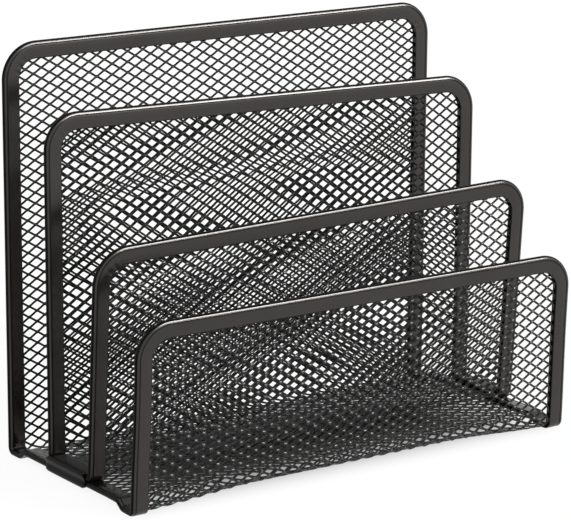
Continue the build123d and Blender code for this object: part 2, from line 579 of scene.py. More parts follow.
@dataclass
class FoldedSheet:
    """A flat blank folded to a U, and the way from the blank to the folded form.

    Attributes:
        rear: The panel at the rear.
        front: The panel at the front.
        floor: The height of the floor between them.
        fold_radius: The radius of the folds below the panels.
        width: The length of the panels along X.
        corner_radius: The radius of the blank's four corners.
        feet: The dips beside the folds, if the sheet has them.
        skew: How much lower the rear panel is at its right end.
        flare: How much further out each end is at the foot of the front panel.
        lead: How far the side path runs on beyond the panels' top edges.
    """

    rear: Panel
    front: Panel
    floor: float
    fold_radius: float
    width: float
    corner_radius: float
    feet: Feet | None = None
    skew: float = 0.0
    flare: float = 0.0
    lead: float = 0.005

    def __post_init__(self) -> None:
        """Makes the side path, which starts and ends a lead beyond the panels."""
        rear_corners, radii = self._fold(self.rear, -1)
        front_corners, _ = self._fold(self.front, 1)
        tops = [
            panel.at(panel.height + self.lead * math.cos(panel.lean))
            for panel in (self.rear, self.front)
        ]
        corners = [tops[0], *rear_corners, *front_corners[::-1], tops[1]]
        self.path = SidePath(corners, radii + radii[::-1])
        self.length = float(self.path.lengths[-1]) - 2 * self.lead

    def _fold(self, panel: Panel, towards_floor: int) -> tuple[list[Pair], list[float]]:
        """The corners and radii from a panel's straight part to the floor.

        Args:
            panel: The panel.
            towards_floor: Which way in Y the floor lies: 1 or -1.

        Returns:
            The corners in Y and Z, and the radius of the fold at each.
        """
        if self.feet is None:
            return [panel.at(self.floor)], [self.fold_radius]
        toe = panel.at(self.feet.level)
        foot_end = toe[0] + towards_floor * self.feet.length
        rise_end = foot_end + towards_floor * self.feet.rise_length
        corners = [toe, (foot_end, self.feet.level), (rise_end, self.floor)]
        return corners, [self.fold_radius, self.feet.rise_radius, self.feet.rise_radius]

    def slope(self) -> float:
        """How far the blank slides along the path for each metre of X."""
        return self.skew / self.width

    def panel_ends(self) -> Pair:
        """Where on the blank the floor starts and stops.

        Returns:
            The end of the rear panel and the start of the front panel.
        """
        folds = np.flatnonzero(np.diff(self.path.headings))
        ends = self.path.lengths[folds[0] + 1], self.path.lengths[folds[-1]]
        return float(ends[0]) - self.lead, float(ends[1]) - self.lead

    def inputs(self) -> dict[str, float]:
        """The sheet's sizes for the trees.

        Returns:
            The sizes, by the names of the trees' inputs.
        """
        rear_end, front_start = self.panel_ends()
        return {
            "Corner Radius": self.corner_radius,
            "Slope": self.slope(),
            "Lead": self.lead,
            "Sheet Width": self.width,
            "Sheet Length": self.length,
            "Rear End": rear_end,
            "Front Start": front_start,
            "Flare": self.flare / (self.width / 2),
            "Flare Start": front_start - FLARE_ALONG_FLOOR,
            "Flare End": front_start + FLARE_UP_PANEL,
        }

    def edge_line(self, inset: float, step: float) -> list[Place]:
        """The blank's edge as a closed line at an inset, denser round the folds.

        Args:
            inset: The distance from the blank's outside.
            step: The largest distance between points on the straight runs.

        Returns:
            The points, in the blank's plane.
        """
        radius = self.corner_radius - inset
        middle = self.length / 2
        side = self.width / 2 - self.corner_radius
        end = middle - self.corner_radius
        arc = np.linspace(0.0, math.pi / 2, ARC_POINTS)
        points: list[Place] = []
        for x_sign, s_sign, start in ((1, 1, 0.0), (-1, 1, 0.5), (-1, -1, 1.0), (1, -1, 1.5)):
            for angle in arc + start * math.pi:
                x = x_sign * side + radius * math.cos(angle)
                points.append((x, middle + s_sign * end + radius * math.sin(angle), 0.0))
            if x_sign == s_sign:
                across = np.linspace(side, -side, math.ceil(2 * side / step) + 1)[1:-1] * x_sign
                points += [(x, middle + s_sign * (end + radius), 0.0) for x in across]
            else:
                along = self._side_stations(x_sign * (side + radius), middle - end, middle + end, step)
                along = along[::-1] if s_sign > 0 else along
                points += [(x_sign * (side + radius), s, 0.0) for s in along]
        return points

    def _side_stations(self, x: float, start: float, end: float, step: float) -> list[float]:
        """Places along one side run, at every point of the folds and between.

        Args:
            x: Where the run lies in X.
            start: Where along the blank it starts.
            end: Where along the blank it stops.
            step: The largest distance between two places.

        Returns:
            The places along the blank, without the start and the end.
        """
        folds = self.path.lengths[1:-1] - self.lead - self.slope() * x
        stops = [start, *(s for s in folds if start < s < end), end]
        stations: list[float] = []
        for a, b in zip(stops, stops[1:]):
            stations += list(np.linspace(a, b, math.ceil((b - a) / step) + 1)[1:])
        return stations[:-1]


class FoldGroup:
    """The node group that folds what lies on a blank along its side path."""

    NUMBERS = (
        "Slope", "Lead", "Sheet Width", "Sheet Length",
        "Flare", "Flare Start", "Front Start", "Flare End", "Raise",
    )

    @staticmethod
    @cache
    def tree() -> bpy.types.NodeTree:
        """The group, made on first use.

        Returns:
            The node group. A point at (x, s, w) on the blank goes to x along X,
            s along the path and w out of the sheet. The flare widens the sheet
            and the raise lifts its folds away from its ends.
        """
        kinds = {"Blank": "Geometry", "Side Path": "Object"}
        maker, given = new_geometry_tree("fold_along_side_path", kinds, FoldGroup.NUMBERS)
        x, s, w = maker.position()
        line = maker.node("GeometryNodeObjectInfo", {"Object": given["Side Path"]})
        curve = maker.node("GeometryNodeMeshToCurve", {"Mesh": line.outputs["Geometry"]})
        along = s + given["Lead"] + given["Slope"] * x
        sample = maker.node(
            "GeometryNodeSampleCurve", {"Curves": curve, "Length": along}, mode="LENGTH"
        )
        _, place_y, place_z = maker.parts(sample.outputs["Position"])
        _, heading_y, heading_z = maker.parts(sample.outputs["Tangent"])
        near = maker.ease(s, given["Flare Start"], given["Front Start"])
        above = maker.ease(s, given["Flare End"], given["Front Start"])
        wide = x * (near * above * given["Flare"] + 1.0)
        middle = given["Sheet Length"] / 2.0
        from_fold = abs(abs(s - middle) - (given["Front Start"] - middle))
        inside = maker.ease(given["Sheet Width"] / 2.0 - abs(x), *RAISE_FROM_END)
        raised = maker.ease(from_fold, RAISE_REACH, 0.0) * inside * given["Raise"]
        folded = maker.vector(wide, place_y + heading_z * w, place_z - heading_y * w + raised)
        moved = maker.node("GeometryNodeSetPosition", {"Geometry": given["Blank"], "Position": folded})
        maker.node("NodeGroupOutput", {"Geometry": moved})
        return maker.tree

    @staticmethod
    def apply(maker: TreeMaker, blank: object, given: dict[str, Field]) -> bpy.types.Node:
        """Adds the group to a tree.

        Args:
            maker: The tree's maker.
            blank: The flat geometry.
            given: The tree's inputs, which name all of the group's own.

        Returns:
            The node that gives the folded geometry.
        """
        inputs = {name: given[name] for name in ("Side Path", *FoldGroup.NUMBERS)}
        return maker.node("GeometryNodeGroup", {"Blank": blank, **inputs}, node_tree=FoldGroup.tree())


def over_corners(given: dict[str, Field], x: Field, s: Field) -> tuple[Field, Field]:
    """How far a point of the blank is past the middles of its corners' arcs.

    Args:
        given: The tree's inputs.
        x: The point's place across the blank.
        s: Its place along the blank.

    Returns:
        The two distances, across and along.
    """
    radius = given["Corner Radius"]
    half_length = given["Sheet Length"] / 2.0
    over_x = abs(x) - (given["Sheet Width"] / 2.0 - radius)
    return over_x, abs(s - half_length) - (half_length - radius)


@dataclass(frozen=True)
class PaintFinish:
    """Black paint on steel: its colour, gloss, fine grain, worn places and painted shade.

    Attributes:
        name: The material's name.
        dark: The paint's colour in its darker patches.
        light: The paint's colour in its lighter patches.
        roughness: The roughness between patches.
        roughness_spread: How far the roughness strays from patch to patch.
        grain: Features of the fine grain for each metre.
        grain_depth: The height of the fine grain.
        ior: The paint's index of refraction.
        tint: The colour of what the paint mirrors.
        rubbed: The colour of rubbed edges. A paint without it has painted shade instead, darker and less
            glossy where its piece marks it.
        patches: Features of the slow patches for each metre.
    """

    name: str
    dark: Colour
    light: Colour
    roughness: float
    roughness_spread: float
    grain: float
    grain_depth: float
    ior: float
    tint: Colour = (1.0, 0.985, 0.965)
    rubbed: Colour | None = None
    patches: float = 60.0

    def material(self) -> bpy.types.Material:
        """Builds the material.

        Returns:
            A node material on Object coordinates and the piece's own mark.
        """
        made = bpy.data.materials.new(self.name)
        made.use_nodes = True
        made.diffuse_color = (*self.light, 1.0)
        maker = TreeMaker(made.node_tree)
        shader = made.node_tree.nodes["Principled BSDF"]
        place = maker.node("ShaderNodeTexCoord").outputs["Object"]
        grain = maker.noise(place, self.grain, GRAIN_DETAIL)
        patches = maker.noise(place, self.patches, PATCH_DETAIL)
        tone = maker.math("MULTIPLY_ADD", grain, GRAIN_SHARE, patches * (1.0 - GRAIN_SHARE))
        paint = self._mix(maker, maker.ease(tone, *TONE_SPREAD), self.dark, self.light)
        rough = (patches - 0.5) * (2.0 * self.roughness_spread) + self.roughness
        if self.rubbed:
            wear = maker.noise(place, self.patches * WEAR_SCALE, GRAIN_DETAIL)
            rub = self._mark(maker, Mark.LIP) * maker.ease(wear, *WEAR_SPREAD)
            paint = self._mix(maker, rub, paint, self.rubbed)
            rough = rough - rub * WEAR_GLOSS
        else:
            # Painted shade: where the mark says, the paint is painted darker, with less specular and more
            # roughness.
            mark = self._mark(maker, Mark.DULL)
            first, second = (maker.ease(mark, start, end) * share for start, end, share in PAINTED_SHADE_STEPS)
            dull = first + second
            paint = self._mix(maker, dull * PAINTED_SHADE_COVER, paint, tuple(PAINTED_SHADE_TONE * c for c in self.dark))
            maker.feed(shader.inputs["Specular IOR Level"], -(dull * PAINTED_SHADE_SPECULAR) + SPECULAR)
            rough = rough + dull * PAINTED_SHADE_ROUGHNESS
        maker.feed(shader.inputs["Base Color"], paint)
        maker.feed(shader.inputs["Roughness"], rough)
        bump = maker.node("ShaderNodeBump", {"Strength": 1.0, "Distance": self.grain_depth, "Height": grain})
        maker.feed(shader.inputs["Normal"], bump)
        shader.inputs["IOR"].default_value = self.ior
        shader.inputs["Specular Tint"].default_value = (*self.tint, 1.0)
        return made

    @staticmethod
    def _mark(maker: TreeMaker, mark: Mark) -> Field:
        """A piece's mark as a field."""
        return maker.field(maker.node("ShaderNodeAttribute", attribute_name=mark.value), "Fac")

    @staticmethod
    def _mix(maker: TreeMaker, share: Field, first: object, second: object) -> Field:
        """A colour between two.

        Args:
            maker: The material's maker.
            share: The second colour's share.
            first: A colour or a field.
            second: A colour or a field.

        Returns:
            The colour.
        """
        ends = [(*end, 1.0) if isinstance(end, tuple) else end for end in (first, second)]
        inputs = {"Factor": share, 6: ends[0], 7: ends[1]}
        return maker.field(maker.node("ShaderNodeMix", inputs, data_type="RGBA"), 2)


@dataclass(frozen=True)
class FloorFinish:
    """The pale floor, which keeps the soft shadow and has a shadow painted under the object.

    Attributes:
        colour: Its colour by the lamps alone.
        glow: What makes it white where it is seen, near the object.
        far_glow: What is added far away, where the lamps' light falls off.
        footprint: Half the object's length and depth. No glow gets under it, so a shadow is painted there.
        painted_shadow_edge: How far the painted shadow's soft edge reaches in and out.
        far: Where the added glow starts and where it is full.
    """

    colour: Colour = (0.12, 0.12, 0.12)
    glow: float = 0.945
    far_glow: float = 0.08
    footprint: Pair = (0.0865, 0.0420)
    painted_shadow_edge: Pair = (-0.036, 0.004)
    far: Pair = (0.2, 1.4)

    def material(self) -> bpy.types.Material:
        """Builds the floor's material.

        Returns:
            A pale matt material that reads as white where it is seen or mirrored, with a shadow painted
            under the object.
        """
        made = bpy.data.materials.new("pale_floor")
        made.use_nodes = True
        maker = TreeMaker(made.node_tree)
        nodes = made.node_tree.nodes
        nodes.remove(nodes["Principled BSDF"])
        matt = maker.node("ShaderNodeBsdfDiffuse", {"Color": (*self.colour, 1.0)})
        x, y, _ = maker.parts(maker.node("ShaderNodeTexCoord").outputs["Object"])
        away = maker.out_of_box(abs(x) - self.footprint[0], abs(y) - self.footprint[1])
        # The glow fades out under the object: a painted shadow.
        strength = maker.ease(away, *self.painted_shadow_edge) * self.glow + maker.ease(away, *self.far) * self.far_glow
        glow = maker.node("ShaderNodeEmission", {"Strength": strength * seen_or_mirrored(maker)})
        both = maker.node("ShaderNodeAddShader", {0: matt, 1: glow})
        maker.feed(nodes["Material Output"].inputs["Surface"], both)
        return made


def seen_or_mirrored(maker: TreeMaker) -> Field:
    """Tells the rays that see or mirror a thing from those that it lights.

    Args:
        maker: The maker of the material or world.

    Returns:
        1 for camera, glossy and transmission rays, and 0 for all others.
    """
    rays = maker.node("ShaderNodeLightPath").outputs
    mirrored = maker.math("MAXIMUM", rays["Is Glossy Ray"], rays["Is Transmission Ray"])
    return maker.math("MAXIMUM", mirrored, rays["Is Camera Ray"])


@dataclass(frozen=True)
class MeshPart:
    """One part of a folded sheet, with the looks of its strands.

    Attributes:
        label: The part's name.
        tilt: Which edge of its openings stands out: 1 or -1.
        strand_painted_shade: How much shade is painted on the strands between the
            nodes, which darkens them and dims their highlights.
        node_painted_shade: How much shade is painted on the nodes, which darkens them and
            dims their glints.
    """

    label: str
    tilt: int
    strand_painted_shade: float
    node_painted_shade: float


@dataclass(frozen=True)
class DiamondMesh:
    """Raised expanded steel: diamonds left by slits that were pulled open.

    Attributes:
        diamond_length: A diamond's long way, along X.
        diamond_height: A diamond's short way at the known gap.
        growth: How much taller the diamonds get for each metre of the blank.
        row_slope: How far the rows rise for each metre of X on the rear panel.
        turn: How far the rows have turned at the front panel, in slopes.
        turn_back: How far they turn back up the front panel, in slopes.
        narrowing: How much less the diamonds' long way is at the front panel.
        gap_x: Where in X the middle of one gap lies.
        gap_s: Where along the blank that gap lies.
        edge_inset: The least distance from a diamond's middle to the edge.
        strand: The width of a strand.
        bond: The length of the bond that joins two diamonds.
        steel: The thickness of the sheet.
        lift: How far an opening's upper edge stands out of the sheet.
    """

    diamond_length: float
    diamond_height: float
    growth: float
    row_slope: float
    turn: float
    turn_back: float
    narrowing: float
    gap_x: float
    gap_s: float
    edge_inset: float = 0.0036
    strand: float = 0.00064
    bond: float = 0.00025
    steel: float = 0.00030
    lift: float = 0.00020

    LATTICE = (
        "diamond_length", "diamond_height", "growth", "row_slope", "turn",
        "turn_back", "narrowing", "gap_x", "gap_s", "edge_inset",
    )
    # The rear panel's strands and nodes get painted shade that darkens them and hides their glints; the
    # front panel's strands get some and its nodes none, and the floor none.
    PARTS = (
        MeshPart("rear_panel", 1, 2.0, 1.6),
        MeshPart("floor", -1, 0.0, 0.0),
        MeshPart("front_panel", 1, 1.0, 0.0),
    )

    def unit(self, part: MeshPart) -> bpy.types.Object:
        """One diamond as a ring of faces from its opening to its outer edge.

        Args:
            part: The part of the sheet that it is for.

        Returns:
            An object whose outer edge tiles the plane with its neighbours.
        """
        outer = self._ring(0.0)
        inner = self._ring(self.strand / 2)
        top = max(y for _, y in inner)
        lifted = [(x, y, -self.lift * part.tilt * y / top) for x, y in inner]
        points = [(x, y, 0.0) for x, y in outer] + lifted
        count = len(outer)
        faces = [(i, (i + 1) % count, count + (i + 1) % count, count + i) for i in range(count)]
        data = bpy.data.meshes.new("unit_diamond")
        data.from_pydata(points, [], faces)
        # Painted shade on the strands' middles and on the nodes, as the part gives it.
        dull = [part.strand_painted_shade if i in STRAND_MIDDLES else part.node_painted_shade for i in range(count)]
        put_mark(data, Mark.DULL, dull + dull)
        return place_in_scene("unit_diamond", data)

    def _ring(self, inset: float) -> list[Pair]:
        """Twelve points round a diamond with flat tops.

        Args:
            inset: The distance in from the diamond's outer edge.

        Returns:
            The points, from the right tip over the top.
        """
        tip_x = self.diamond_length / 2 - self.bond / 2
        top_x = self.bond / 2
        top_y = self.diamond_height / 2
        slant = math.atan2(top_y, tip_x - top_x)
        tip = tip_x - inset / math.sin(slant)
        shoulder = top_x - inset * math.tan(slant / 2)
        crown = top_y - inset
        flat = crown - inset * NODE_GROWTH
        spread = shoulder + (crown - flat) / math.tan(slant)
        quarter = [(tip, 0.0), ((tip + shoulder) / 2, crown / 2), (spread, flat)]
        half = [*quarter, (0.0, flat), *((-x, y) for x, y in quarter[::-1])]
        return half + [(x, -y) for x, y in half[-2:0:-1]]

    @staticmethod
    @cache
    def tree() -> bpy.types.NodeTree:
        """The tree that lays diamonds on a blank and folds them, made once.

        Returns:
            The geometry tree.
        """
        kinds = {
            "Geometry": "Geometry", "Unit Diamond": "Object", "Side Path": "Object",
            "Paint": "Material", "Columns": "Int", "Rows": "Int",
        }
        sizes = map(input_name, DiamondMesh.LATTICE)
        numbers = ("Corner Radius", "Rear End", "From", "To", *sizes, *FoldGroup.NUMBERS)
        maker, given = new_geometry_tree("diamond_mesh", kinds, numbers)
        points = DiamondMesh._lattice(maker, given)
        chosen = DiamondMesh._inside(maker, given)
        unit = maker.node("GeometryNodeObjectInfo", {"Object": given["Unit Diamond"], "As Instance": True})
        placed = maker.node(
            "GeometryNodeInstanceOnPoints",
            {"Points": points, "Selection": chosen, "Instance": unit.outputs["Geometry"]},
        )
        real = maker.node("GeometryNodeRealizeInstances", {0: placed})
        merged = maker.node("GeometryNodeMergeByDistance", {"Geometry": real, "Distance": MERGE})
        x, s = DiamondMesh._on_blank(maker, given)
        on_blank = maker.vector(x, s, maker.position()[2])
        laid = maker.node("GeometryNodeSetPosition", {"Geometry": merged, "Position": on_blank})
        return end_piece_tree(maker, FoldGroup.apply(maker, laid, given), given["Paint"])

    @staticmethod
    def _lattice(maker: TreeMaker, given: dict[str, Field]) -> bpy.types.Node:
        """The middles of all diamonds: two grids, half a diamond apart each way.

        Args:
            maker: The tree's maker.
            given: The tree's inputs.

        Returns:
            The node that gives the points.
        """
        join = maker.node("GeometryNodeJoinGeometry")
        for share in (0.0, 0.5):
            inputs = {
                "Size X": given["Diamond Length"] * (given["Columns"] - 1.0),
                "Size Y": given["Diamond Height"] * (given["Rows"] - 1.0),
                "Vertices X": given["Columns"],
                "Vertices Y": given["Rows"],
            }
            grid = maker.node("GeometryNodeMeshGrid", inputs)
            shift = maker.vector(given["Diamond Length"] * share, given["Diamond Height"] * share, 0.0)
            moved = maker.node("GeometryNodeTransform", {0: grid, "Translation": shift})
            maker.feed(join.inputs[0], moved)
        return join

    @staticmethod
    def _on_blank(maker: TreeMaker, given: dict[str, Field]) -> tuple[Field, Field]:
        """Where a point of the even lattice lies on the blank.

        The rows grow taller along the blank. They rise to the right on the rear
        panel, turn over the floor and turn back a little up the front panel.

        Args:
            maker: The tree's maker.
            given: The tree's inputs.

        Returns:
            The point's places across and along the blank.
        """
        column, row, _ = maker.position()
        level = row * (row * given["Growth"] * 0.5 + 1.0) + given["Gap S"]
        turned = maker.ease(level, given["Rear End"], given["Front Start"])
        back = maker.ease(level, given["Front Start"], given["Sheet Length"])
        fan = back * given["Turn Back"] - turned * given["Turn"] + 1.0
        x = column * (-(turned * given["Narrowing"]) + 1.0) + given["Gap X"]
        return x, level - column * given["Row Slope"] * fan

    @staticmethod
    def _inside(maker: TreeMaker, given: dict[str, Field]) -> Field:
        """Whether a diamond's middle lies far enough inside the blank and in its part.

        Args:
            maker: The tree's maker.
            given: The tree's inputs.

        Returns:
            1 where it does, and 0 elsewhere.
        """
        x, s = DiamondMesh._on_blank(maker, given)
        inset = given["Corner Radius"] - maker.out_of_box(*over_corners(given, x, s))
        deep = maker.math("GREATER_THAN", inset, given["Edge Inset"])
        after = maker.math("GREATER_THAN", s, given["From"])
        before = maker.math("LESS_THAN", s, given["To"])
        return deep * after * before

    def dress(self, sheet: FoldedSheet, node: str, paint: bpy.types.Material) -> None:
        """Builds a folded sheet of mesh, in one piece for each part of its length.

        Args:
            sheet: The folded sheet.
            node: The frame's node that the pieces stand for.
            paint: The paint.
        """
        path = sheet.path.line_object()
        values = {
            "Side Path": path,
            "Paint": paint,
            "Columns": 2 * math.ceil(sheet.width / self.diamond_length) + SPARE_DIAMONDS,
            "Rows": 2 * math.ceil(sheet.length / self.diamond_height) + SPARE_DIAMONDS,
            "Raise": sheet.feet.mesh_raise if sheet.feet else 0.0,
            **{input_name(name): getattr(self, name) for name in self.LATTICE},
            **sheet.inputs(),
        }
        spans = (0.0, *sheet.panel_ends(), sheet.length)
        for part, start, end in zip(self.PARTS, spans, spans[1:]):
            name = f"{node}_{part.label}"
            source = loose_line(f"{name}_source", [(0.0, 0.0, 0.0)], closed=False)
            unit = self.unit(part)
            values.update({"From": start, "To": end, "Unit Diamond": unit})
            piece = run_tree(source, self.tree(), values, name)
            self._thicken(piece)
            finish_piece(piece, node)
            remove(unit)
        remove(path)

    def _thicken(self, piece: bpy.types.Object) -> None:
        """Gives the sheet its thickness and closes every rim.

        Args:
            piece: The sheet's piece.
        """
        solid = piece.modifiers.new("steel", "SOLIDIFY")
        solid.thickness = self.steel
        solid.offset = 0.0
        solid.use_rim = True
        keep_modified_mesh(piece)


@dataclass(frozen=True)
class BindingStrip:
    """A strip of sheet steel folded round the mesh's edge: a hem and two flanges.

    Attributes:
        hem_radius: The radius of the hem.
        depth: The distance from the outside of the hem to the flanges' lips.
        steel: The thickness of the strip.
        face: How far a flange's face stands out of the sheet's middle.
        groove: How far the face dips where it meets the hem.
        lip_radius: The radius of the lips' edges.
        wave: How far the strip strays from straight.
        wave_scale: Waves for each metre.
        wrinkle: The depth of the wrinkles on the inside of a corner.
        wrinkles: How many wrinkles a corner has.
        step: The largest distance between sections on the straight runs.
    """

    hem_radius: float = 0.0011
    depth: float = 0.0059
    steel: float = 0.00045
    face: float = 0.00102
    groove: float = 0.00014
    lip_radius: float = 0.00013
    wave: float = 0.00006
    wave_scale: float = 22.0
    wrinkle: float = 0.00020
    wrinkles: float = 5.0
    step: float = 0.0030

    SIZES = ("depth", "wave", "wave_scale", "wrinkle", "wrinkles")

    def profile(self) -> tuple[list[Pair], list[float]]:
        """The strip's section, from lip to lip over the hem and back inside.

        Returns:
            The points as distance in from the hem's axis and height over the
            sheet, and how much shade is painted at each: at the lips, in the groove
            and round the outside of the hem.
        """
        reach = self.depth - self.hem_radius
        radius = self.lip_radius
        front = [
            (reach - radius + radius * math.cos(a), self.face - radius + radius * math.sin(a))
            for a in np.linspace(0.0, math.pi / 2, LIP_POINTS)
        ]
        front += [(reach * u, self.face + CROWN * math.sin(math.pi * u)) for u in CROWN_SHARES]
        front += [(self.hem_radius * u, self.face - dip * self.groove) for u, dip, _ in GROOVE]
        bevel = [(-u, BEVEL_HEIGHT - u * math.tan(BEVEL_TILT)) for u in BEVEL_SHARES]
        turn = np.linspace(RIM_START, math.pi / 2, RIM_POINTS)
        rim = [(-RIM_MIDDLE - (1.0 - RIM_MIDDLE) * math.sin(a), RIM_HEIGHT * math.cos(a)) for a in turn]
        front += [(self.hem_radius * u, self.hem_radius * w) for u, w in bevel + rim]
        # Painted shade at the lips, in the groove and round the hem's rim.
        dull = [LIP_PAINTED_SHADE] * LIP_POINTS + [0.0] * len(CROWN_SHARES) + [mark for _, _, mark in GROOVE]
        dull += [0.0] * len(bevel) + [RIM_PAINTED_SHADE[0]] + [RIM_PAINTED_SHADE[1]] * (RIM_POINTS - 1)
        hollow = self.hem_radius - self.steel
        flange = [(reach, self.face - self.steel), (reach * 0.5, self.face - self.steel)]
        turn = np.linspace(*HOLLOW_TURN, HOLLOW_POINTS)
        inside = [(u, -w) for u, w in flange]
        inside += [(hollow * math.cos(a), hollow * math.sin(a)) for a in turn]
        inside += flange[::-1]
        points = front + [(u, -w) for u, w in front[-2::-1]] + inside
        return points, dull + dull[-2::-1] + [0.0] * len(inside)

    @staticmethod
    @cache
    def tree() -> bpy.types.NodeTree:
        """The tree that sweeps the section along a blank's edge and folds it.

        Returns:
            The geometry tree, made once.
        """
        kinds = {"Geometry": "Geometry", "Section": "Object", "Side Path": "Object", "Paint": "Material"}
        numbers = ("Corner Radius", "Seed", *map(input_name, BindingStrip.SIZES), *FoldGroup.NUMBERS)
        maker, given = new_geometry_tree("binding_strip", kinds, numbers)
        edge = maker.node("GeometryNodeMeshToCurve", {"Mesh": given["Geometry"]})
        level = maker.node("GeometryNodeSetCurveNormal", {"Curve": edge}, mode="Z_UP")
        section = maker.node("GeometryNodeObjectInfo", {"Object": given["Section"]})
        outline = maker.node("GeometryNodeMeshToCurve", {"Mesh": section.outputs["Geometry"]})
        swept = maker.node("GeometryNodeCurveToMesh", {"Curve": level, "Profile Curve": outline})
        offset = BindingStrip._waves(maker, given) + BindingStrip._wrinkles(maker, given)
        inputs = {"Geometry": swept, "Offset": maker.vector(0.0, 0.0, offset)}
        waved = maker.node("GeometryNodeSetPosition", inputs)
        return end_piece_tree(maker, FoldGroup.apply(maker, waved, given), given["Paint"])

    @staticmethod
    def _waves(maker: TreeMaker, given: dict[str, Field]) -> Field:
        """How far slow waves lift the strip at a point of the blank.

        Args:
            maker: The tree's maker.
            given: The tree's inputs.

        Returns:
            The lift.
        """
        x, s, _ = maker.position()
        place = maker.vector(x * given["Wave Scale"], s * given["Wave Scale"], given["Seed"])
        return (maker.noise(place, 1.0, 1.0) - 0.5) * given["Wave"] * 2.0

    @staticmethod
    def _wrinkles(maker: TreeMaker, given: dict[str, Field]) -> Field:
        """How far the wrinkles press the flanges in, on the inside of a corner.

        Args:
            maker: The tree's maker.
            given: The tree's inputs.

        Returns:
            The lift, below 0 on the upper flange and above 0 on the lower one.
        """
        x, s, w = maker.position()
        over_x, over_s = over_corners(given, x, s)
        angle = maker.math("ARCTAN2", over_s, over_x)
        away = maker.math("SQRT", over_x * over_x + over_s * over_s)
        share = angle / (math.pi / 2)
        middle = maker.ease(share, *WRINKLES_IN) * maker.ease(share, *WRINKLES_OUT)
        lip = given["Corner Radius"] - given["Depth"]
        near_lip = maker.ease(away, lip + given["Depth"] * WRINKLE_REACH, lip)
        turned = maker.vector(angle, given["Seed"], 0.0)
        wobble = maker.noise(turned, WOBBLE_SCALE, 1.0) * WRINKLE_WOBBLE
        ripple = maker.math("SINE", share * given["Wrinkles"] * math.tau + wobble)
        pressed = maker.math("POWER", ripple * 0.5 + 0.5, 2.0)
        return -(pressed * middle * near_lip * maker.math("SIGN", w) * given["Wrinkle"])

    def dress(self, sheet: FoldedSheet, node: str, paint: bpy.types.Material, seed: float) -> None:
        """Builds the strip round a folded sheet's whole edge.

        Args:
            sheet: The folded sheet.
            node: The frame's node that the piece stands for.
            paint: The paint.
            seed: What sets this strip's waves apart from the others'.
        """
        points, dull = self.profile()
        section = loose_line("strip_section", [(u, w, 0.0) for u, w in points], closed=True)
        # The section carries its painted shade to the strip.
        put_mark(section.data, Mark.DULL, dull)
        path = sheet.path.line_object()
        edge = loose_line(f"{node}_edge", sheet.edge_line(self.hem_radius, self.step)[::-1], closed=True)
        values = {
            "Side Path": path,
            "Section": section,
            "Paint": paint,
            "Seed": seed,
            "Raise": 0.0,
            **{input_name(name): getattr(self, name) for name in self.SIZES},
            **sheet.inputs(),
        }
        piece = run_tree(edge, self.tree(), values, f"{node}_strip")
        remove(path, section)
        point_outwards(piece)
        finish_piece(piece, node)


